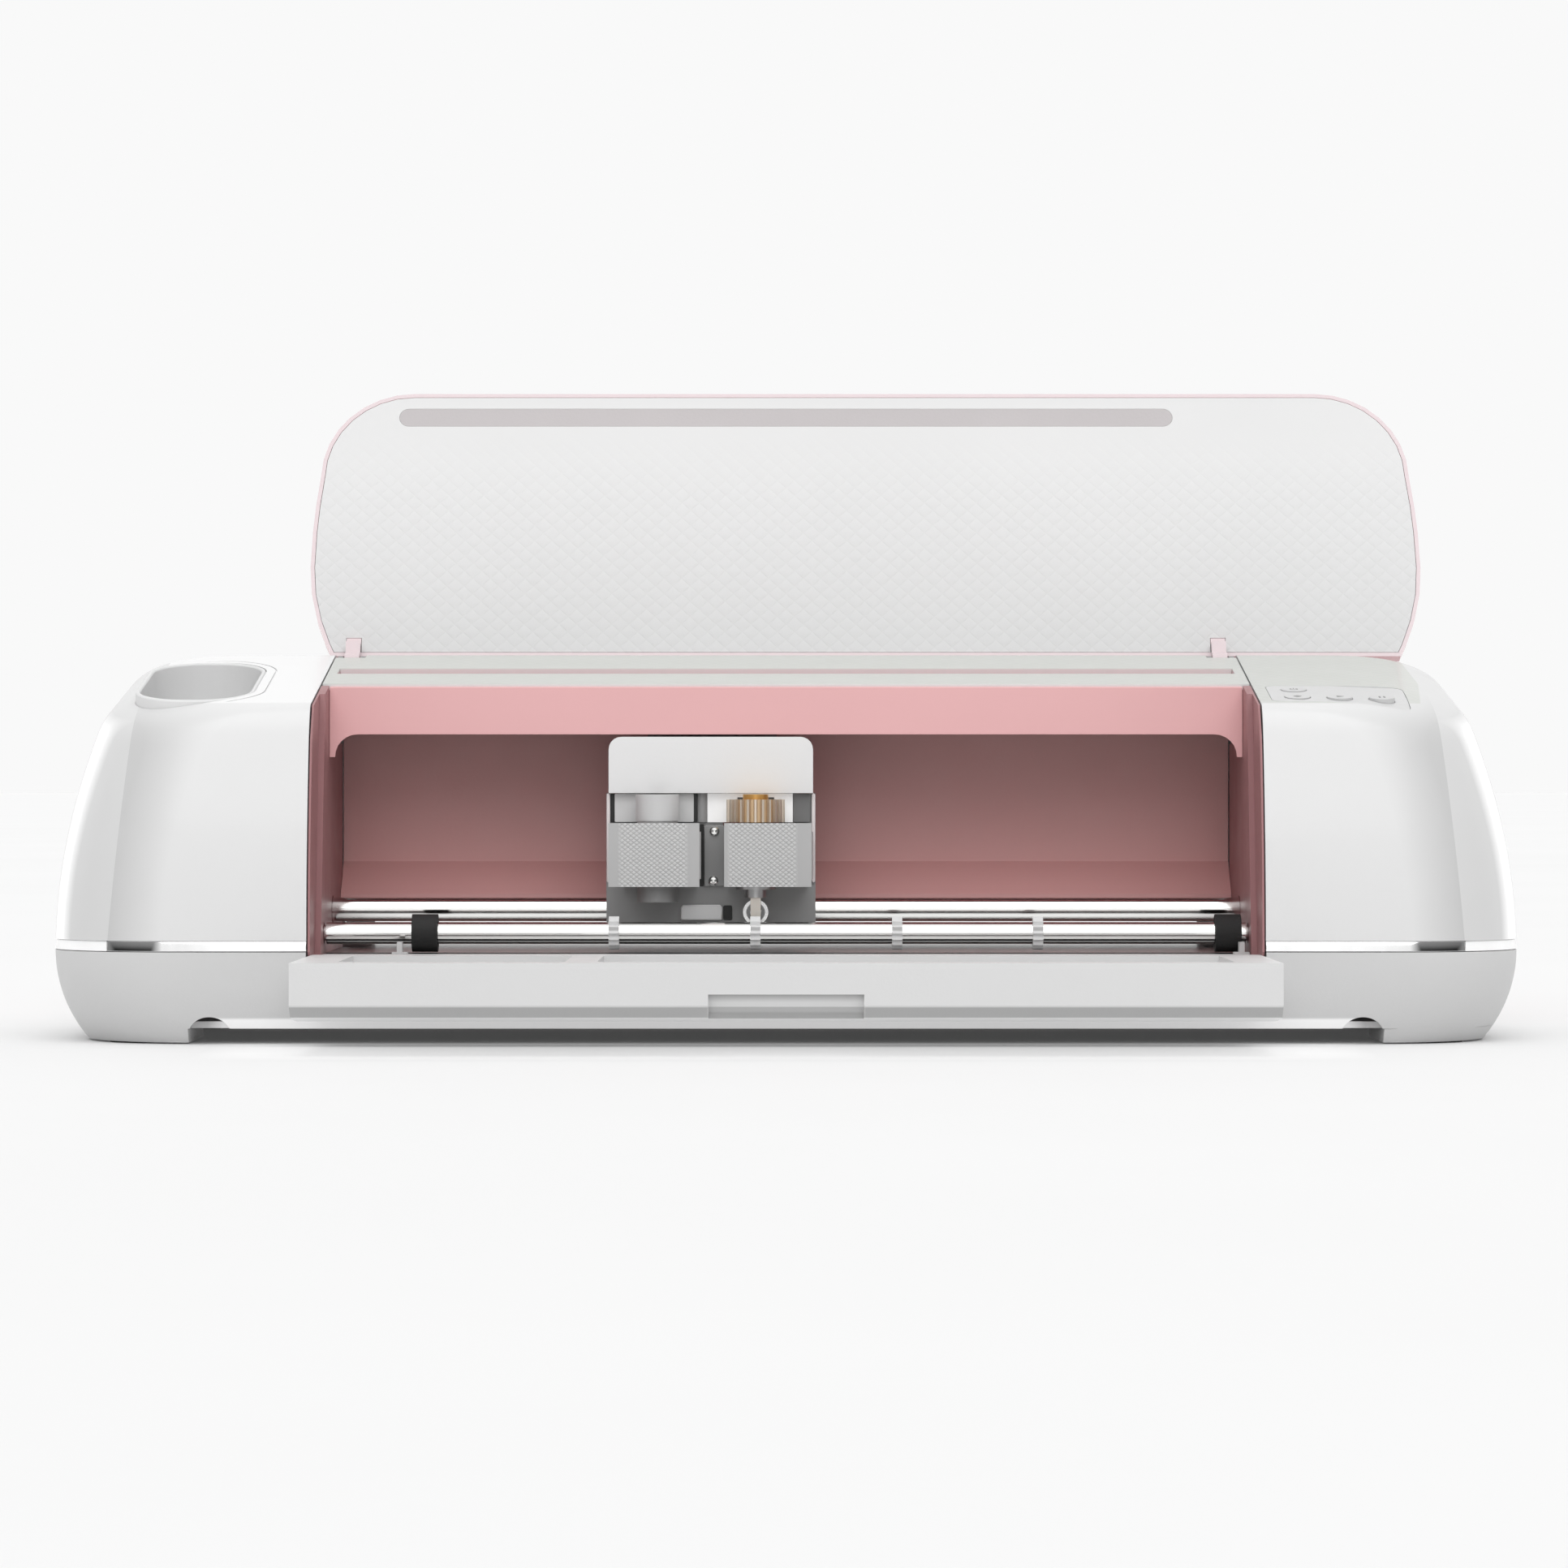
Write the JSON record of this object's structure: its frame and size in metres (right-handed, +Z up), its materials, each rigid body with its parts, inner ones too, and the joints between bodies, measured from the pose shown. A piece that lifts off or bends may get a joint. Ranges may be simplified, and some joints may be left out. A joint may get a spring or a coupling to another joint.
{
  "type": "electronic die cutting machine",
  "caption": "Roller-fed desktop cutting machine with a hinged lid, fold-down front door, sliding two-tool carriage and feed rollers.",
  "frame": {"origin": "on the table, under the middle of the machine's box as it stands with lid and door open", "axes": "+X to the right along the machine, +Y from the door to the back, +Z up"},
  "size_m": [0.574, 0.2788, 0.2645],
  "materials": {
    "base_grey": "satin",
    "white_shell": "gloss",
    "chrome_trim": "polished",
    "rose_plastic": "satin",
    "rose_gloss": "gloss",
    "lid_white": "embossed satin",
    "grip_grey": "satin",
    "cup_grey": "satin",
    "keypad_white": "satin",
    "button_grey": "satin",
    "board_green": "satin",
    "plate_steel": "brushed",
    "polished_steel": "polished",
    "roller_dark": "knurled",
    "black_rubber": "matt",
    "black_plastic": "satin",
    "motor_metal": "satin",
    "star_white": "satin",
    "gear_ivory": "satin",
    "bronze": "satin",
    "gate_silver": "satin, scale textured",
    "clamp_grey": "satin",
    "adapter_grey": "satin",
    "frame_grey": "satin",
    "gold_gear": "polished",
    "blade_steel": "ground",
    "door_grey": "satin"
  },
  "bodies": {
    "body": {"base_tub": "base_grey", "foot_pads": "black_rubber", "base_screws": "plate_steel", "left_housing": "white_shell", "right_housing": "white_shell", "left_side_cap": "white_shell", "right_side_cap": "white_shell", "trim_strips": "chrome_trim", "rear_cover": "white_shell", "top_bridge": "white_shell", "bridge_fascia": "rose_plastic", "dock_liner": "rose_plastic", "back_wall": "rose_plastic", "jambs": "rose_plastic", "cup_liner": "cup_grey", "keypad_panel": "keypad_white", "button_board": "board_green", "side_plates": "plate_steel", "platen": "plate_steel", "front_bed": "door_grey", "guide_rod": "polished_steel", "support_rail": "plate_steel", "drive_belt": "black_rubber", "carriage_motor": "motor_metal", "feed_motor": "motor_metal", "main_board": "board_green", "power_inlet": "black_plastic", "usb_port": "plate_steel", "mat_guides": "star_white", "lid_brackets": "plate_steel", "door_pins": "plate_steel"},
    "lid": {"lid_shell": "rose_gloss", "lid_inner_panel": "lid_white", "lid_grip_strip": "grip_grey"},
    "door": {"front_door": "door_grey", "door_inner_panel": "door_grey"},
    "feed_roller": {"driven_roller": "roller_dark", "feed_gear": "gear_ivory"},
    "feed_pinion_wheel": {"feed_pinion": "bronze"},
    "star_roller": {"star_shaft": "polished_steel", "star_wheels": "star_white", "pinch_rollers": "black_rubber"},
    "drive_wheel": {"drive_pulley": "plate_steel"},
    "idler_wheel": {"idler_pulley": "plate_steel"},
    "carriage": {"carriage_frame": "frame_grey", "carriage_cover": "white_shell", "rod_bushings": "bronze"},
    "clamp_a_slider": {"clamp_a": "clamp_grey", "accessory_adapter": "adapter_grey"},
    "gate_a_leaf": {"gate_a": "gate_silver"},
    "clamp_b_slider": {"clamp_b": "clamp_grey", "rotary_housing": "blade_steel"},
    "gate_b_leaf": {"gate_b": "gate_silver"},
    "tool_spindle": {"tool_gear": "gold_gear"},
    "tool_pinion_wheel": {"tool_pinion": "star_white"},
    "blade": {"rotary_blade": "blade_steel"},
    "power_key": {"power_button": "button_grey"},
    "load_key": {"load_button": "button_grey"},
    "pause_key": {"pause_button": "button_grey"},
    "go_key": {"go_button": "button_grey"}
  },
  "joints": [
    {"name": "lid_hinge", "type": "hinge", "parent": "body", "child": "lid", "pos_m": [0, 0.08412, 0.151], "axis": [-1, 0, 0], "range_deg": [-123, 0]},
    {"name": "door_hinge", "type": "hinge", "parent": "body", "child": "door", "pos_m": [0, -0.03588, 0.029], "axis": [1, 0, 0], "range_deg": [-101, 0]},
    {"name": "feed_roller_spin", "type": "hinge", "parent": "body", "child": "feed_roller", "pos_m": [0, -0.01288, 0.0295], "axis": [1, 0, 0], "continuous": true},
    {"name": "feed_pinion_spin", "type": "hinge", "parent": "body", "child": "feed_pinion_wheel", "pos_m": [0, 0.00807, 0.0295], "axis": [1, 0, 0], "continuous": true},
    {"name": "star_roller_spin", "type": "hinge", "parent": "body", "child": "star_roller", "pos_m": [0, -0.01288, 0.0422], "axis": [1, 0, 0], "continuous": true},
    {"name": "carriage_slide", "type": "slide", "parent": "body", "child": "carriage", "axis": [1, 0, 0], "range_m": [-0.098, 0.157]},
    {"name": "drive_pulley_spin", "type": "hinge", "parent": "body", "child": "drive_wheel", "pos_m": [0.207, 0.06762, 0.126], "axis": [0, 0, 1], "continuous": true},
    {"name": "idler_pulley_spin", "type": "hinge", "parent": "body", "child": "idler_wheel", "pos_m": [-0.198, 0.06762, 0.126], "axis": [0, 0, 1], "continuous": true},
    {"name": "clamp_a_slide", "type": "slide", "parent": "carriage", "child": "clamp_a_slider", "axis": [0, 0, 1], "range_m": [-0.01, 0], "stiffness_N_per_m": 500, "springref_m": 0.003},
    {"name": "clamp_b_slide", "type": "slide", "parent": "carriage", "child": "clamp_b_slider", "axis": [0, 0, 1], "range_m": [-0.01, 0], "stiffness_N_per_m": 500, "springref_m": 0.003},
    {"name": "gate_a_hinge", "type": "hinge", "parent": "clamp_a_slider", "child": "gate_a_leaf", "pos_m": [-0.036, -0.00588, 0.07], "axis": [0, 0, 1], "range_deg": [0, 85]},
    {"name": "gate_b_hinge", "type": "hinge", "parent": "clamp_b_slider", "child": "gate_b_leaf", "pos_m": [0.008, -0.00588, 0.07], "axis": [0, 0, 1], "range_deg": [0, 85]},
    {"name": "tool_spin", "type": "hinge", "parent": "clamp_b_slider", "child": "tool_spindle", "pos_m": [-0.012, 0.00262, 0.08], "axis": [0, 0, 1], "continuous": true},
    {"name": "tool_pinion_spin", "type": "hinge", "parent": "carriage", "child": "tool_pinion_wheel", "pos_m": [-0.012, 0.01807, 0.08], "axis": [0, 0, 1], "continuous": true},
    {"name": "blade_spin", "type": "hinge", "parent": "tool_spindle", "child": "blade", "pos_m": [-0.012, 0.00262, 0.05], "axis": [0, 1, 0], "continuous": true},
    {"name": "power_press", "type": "slide", "parent": "body", "child": "power_key", "axis": [0, -0.1908, 0.9816], "range_m": [-0.001, 0], "stiffness_N_per_m": 800, "springref_m": 0.0005},
    {"name": "load_press", "type": "slide", "parent": "body", "child": "load_key", "axis": [0, -0.1908, 0.9816], "range_m": [-0.001, 0], "stiffness_N_per_m": 800, "springref_m": 0.0005},
    {"name": "pause_press", "type": "slide", "parent": "body", "child": "pause_key", "axis": [0, -0.1908, 0.9816], "range_m": [-0.001, 0], "stiffness_N_per_m": 800, "springref_m": 0.0005},
    {"name": "go_press", "type": "slide", "parent": "body", "child": "go_key", "axis": [0, -0.1908, 0.9816], "range_m": [-0.001, 0], "stiffness_N_per_m": 800, "springref_m": 0.0005}
  ],
  "couplings": [
    {"joint": "door_hinge", "follows": "lid_hinge", "ratio": 0.821},
    {"joint": "feed_pinion_spin", "follows": "feed_roller_spin", "ratio": -3.3333},
    {"joint": "star_roller_spin", "follows": "feed_roller_spin", "ratio": -0.67568},
    {"joint": "drive_pulley_spin", "follows": "carriage_slide", "rad_per_m": 169.49},
    {"joint": "idler_pulley_spin", "follows": "carriage_slide", "rad_per_m": 169.49},
    {"joint": "tool_pinion_spin", "follows": "tool_spin", "ratio": -2.4}
  ]
}
